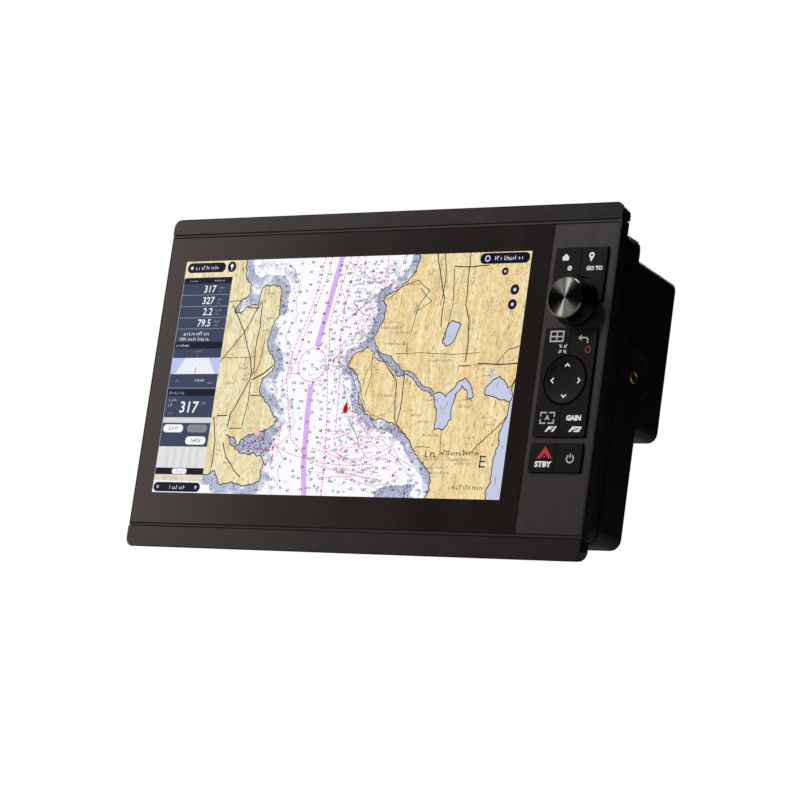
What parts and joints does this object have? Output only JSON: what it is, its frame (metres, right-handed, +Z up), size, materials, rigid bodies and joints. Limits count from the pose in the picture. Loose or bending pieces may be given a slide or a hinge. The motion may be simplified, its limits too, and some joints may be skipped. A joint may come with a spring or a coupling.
{
  "type": "chartplotter display",
  "caption": "Flush-mount marine chartplotter display: wide touch screen, keypad with knob and cursor pad at the right, stepped sealed case with rear sockets and side bracket bosses.",
  "frame": {"origin": "bottom centre of the display's bounding box, under the middle of the front frame's width", "axes": "+X to the user's right as they face the screen, +Y away from the user towards the back of the case, +Z up the screen"},
  "size_m": [0.256, 0.0742, 0.159],
  "materials": {
    "moulded_black": "fine moulded grain, satin black",
    "cast_black": "die-cast aluminium, fine-textured black powder coat",
    "trim": "dark grey satin paint with a fine grain",
    "plate": "dark grey, finely brushed under a satin coat",
    "glass": "bonded cover glass with a printed black border",
    "lcd": "lit liquid-crystal panel",
    "keys": "near-black satin with printed white marks",
    "rubber": "black silicone",
    "steel": "plain steel",
    "aluminium": "machined aluminium",
    "knob_black": "smooth satin black",
    "knob_face": "dark metal, turned in fine circles",
    "brass": "turned brass",
    "circuit_board": "green solder mask",
    "ceramic": "ceramic patch aerial",
    "tape": "black film"
  },
  "bodies": {
    "case": {"bottom_trim": "trim", "buzzer": "moulded_black", "card_door_pin": "steel", "card_reader": "moulded_black", "case_screw_1": "steel", "case_screw_2": "steel", "case_screw_3": "steel", "case_screw_4": "steel", "chassis_plate": "steel", "connector_board": "circuit_board", "data_pins": "brass", "data_socket": "moulded_black", "encoder_body": "steel", "encoder_nut": "steel", "front_frame": "moulded_black", "front_glass": "glass", "front_seal": "rubber", "glass_tape": "tape", "gps_antenna": "ceramic", "ground_screw": "steel", "heat_spreader": "aluminium", "keypad_board": "circuit_board", "keypad_mat": "rubber", "keypad_plate": "plate", "lcd_backlight": "steel", "lcd_panel": "lcd", "lcd_ribbon": "tape", "left_insert": "brass", "main_board": "circuit_board", "mid_frame": "cast_black", "network_socket": "moulded_black", "power_pins": "brass", "power_socket": "moulded_black", "processor": "moulded_black", "rear_case": "cast_black", "rear_seal": "rubber", "right_insert": "brass", "sounder_module": "steel", "sounder_pins": "brass", "sounder_socket": "moulded_black", "thermal_pad": "tape", "top_trim": "trim", "vent_plug": "rubber"},
    "knob_push": {"encoder_plunger": "moulded_black"},
    "knob": {"encoder_shaft": "steel", "knob_body": "knob_black", "knob_cap": "knob_face"},
    "pad_pivot": {"cursor_pivot": "keys"},
    "pad": {"cursor_pad": "keys"},
    "card_door": {"card_door": "moulded_black"},
    "home_key": {"home_key": "keys"},
    "waypoint_key": {"waypoint_key": "keys"},
    "layout_key": {"layout_key": "keys"},
    "back_key": {"back_key": "keys"},
    "centre_key": {"centre_key": "keys"},
    "gain_key": {"gain_key": "keys"},
    "autopilot_key": {"autopilot_key": "keys"},
    "power_key": {"power_key": "keys"}
  },
  "joints": [
    {"name": "home_key_press", "type": "slide", "parent": "case", "child": "home_key", "axis": [0, 1, 0], "range_m": [0, 0.0007], "stiffness_N_per_m": 2800},
    {"name": "waypoint_key_press", "type": "slide", "parent": "case", "child": "waypoint_key", "axis": [0, 1, 0], "range_m": [0, 0.0007], "stiffness_N_per_m": 2800},
    {"name": "layout_key_press", "type": "slide", "parent": "case", "child": "layout_key", "axis": [0, 1, 0], "range_m": [0, 0.0007], "stiffness_N_per_m": 2800},
    {"name": "back_key_press", "type": "slide", "parent": "case", "child": "back_key", "axis": [0, 1, 0], "range_m": [0, 0.0007], "stiffness_N_per_m": 2800},
    {"name": "centre_key_press", "type": "slide", "parent": "case", "child": "centre_key", "axis": [0, 1, 0], "range_m": [0, 0.0007], "stiffness_N_per_m": 2800},
    {"name": "gain_key_press", "type": "slide", "parent": "case", "child": "gain_key", "axis": [0, 1, 0], "range_m": [0, 0.0007], "stiffness_N_per_m": 2800},
    {"name": "autopilot_key_press", "type": "slide", "parent": "case", "child": "autopilot_key", "axis": [0, 1, 0], "range_m": [0, 0.0007], "stiffness_N_per_m": 2800},
    {"name": "power_key_press", "type": "slide", "parent": "case", "child": "power_key", "axis": [0, 1, 0], "range_m": [0, 0.0007], "stiffness_N_per_m": 2800},
    {"name": "knob_press", "type": "slide", "parent": "case", "child": "knob_push", "axis": [0, 1, 0], "range_m": [0, 0.0005], "stiffness_N_per_m": 6000},
    {"name": "knob_turn", "type": "hinge", "parent": "knob_push", "child": "knob", "pos_m": [0.1094, -0.02765, 0.1141], "axis": [0, 1, 0], "continuous": true},
    {"name": "pad_tilt_sideways", "type": "hinge", "parent": "case", "child": "pad_pivot", "pos_m": [0.1094, -0.02365, 0.0792], "axis": [0, 0, 1], "range_deg": [-2.2, 2.2], "stiffness_Nm_per_rad": 0.47},
    {"name": "pad_tilt_up_down", "type": "hinge", "parent": "pad_pivot", "child": "pad", "pos_m": [0.1094, -0.02365, 0.0792], "axis": [1, 0, 0], "range_deg": [-2.2, 2.2], "stiffness_Nm_per_rad": 0.47},
    {"name": "card_door_open", "type": "hinge", "parent": "case", "child": "card_door", "pos_m": [0.06, 0.01465, 0.0254], "axis": [-1, 0, 0], "range_deg": [0, 95]}
  ]
}
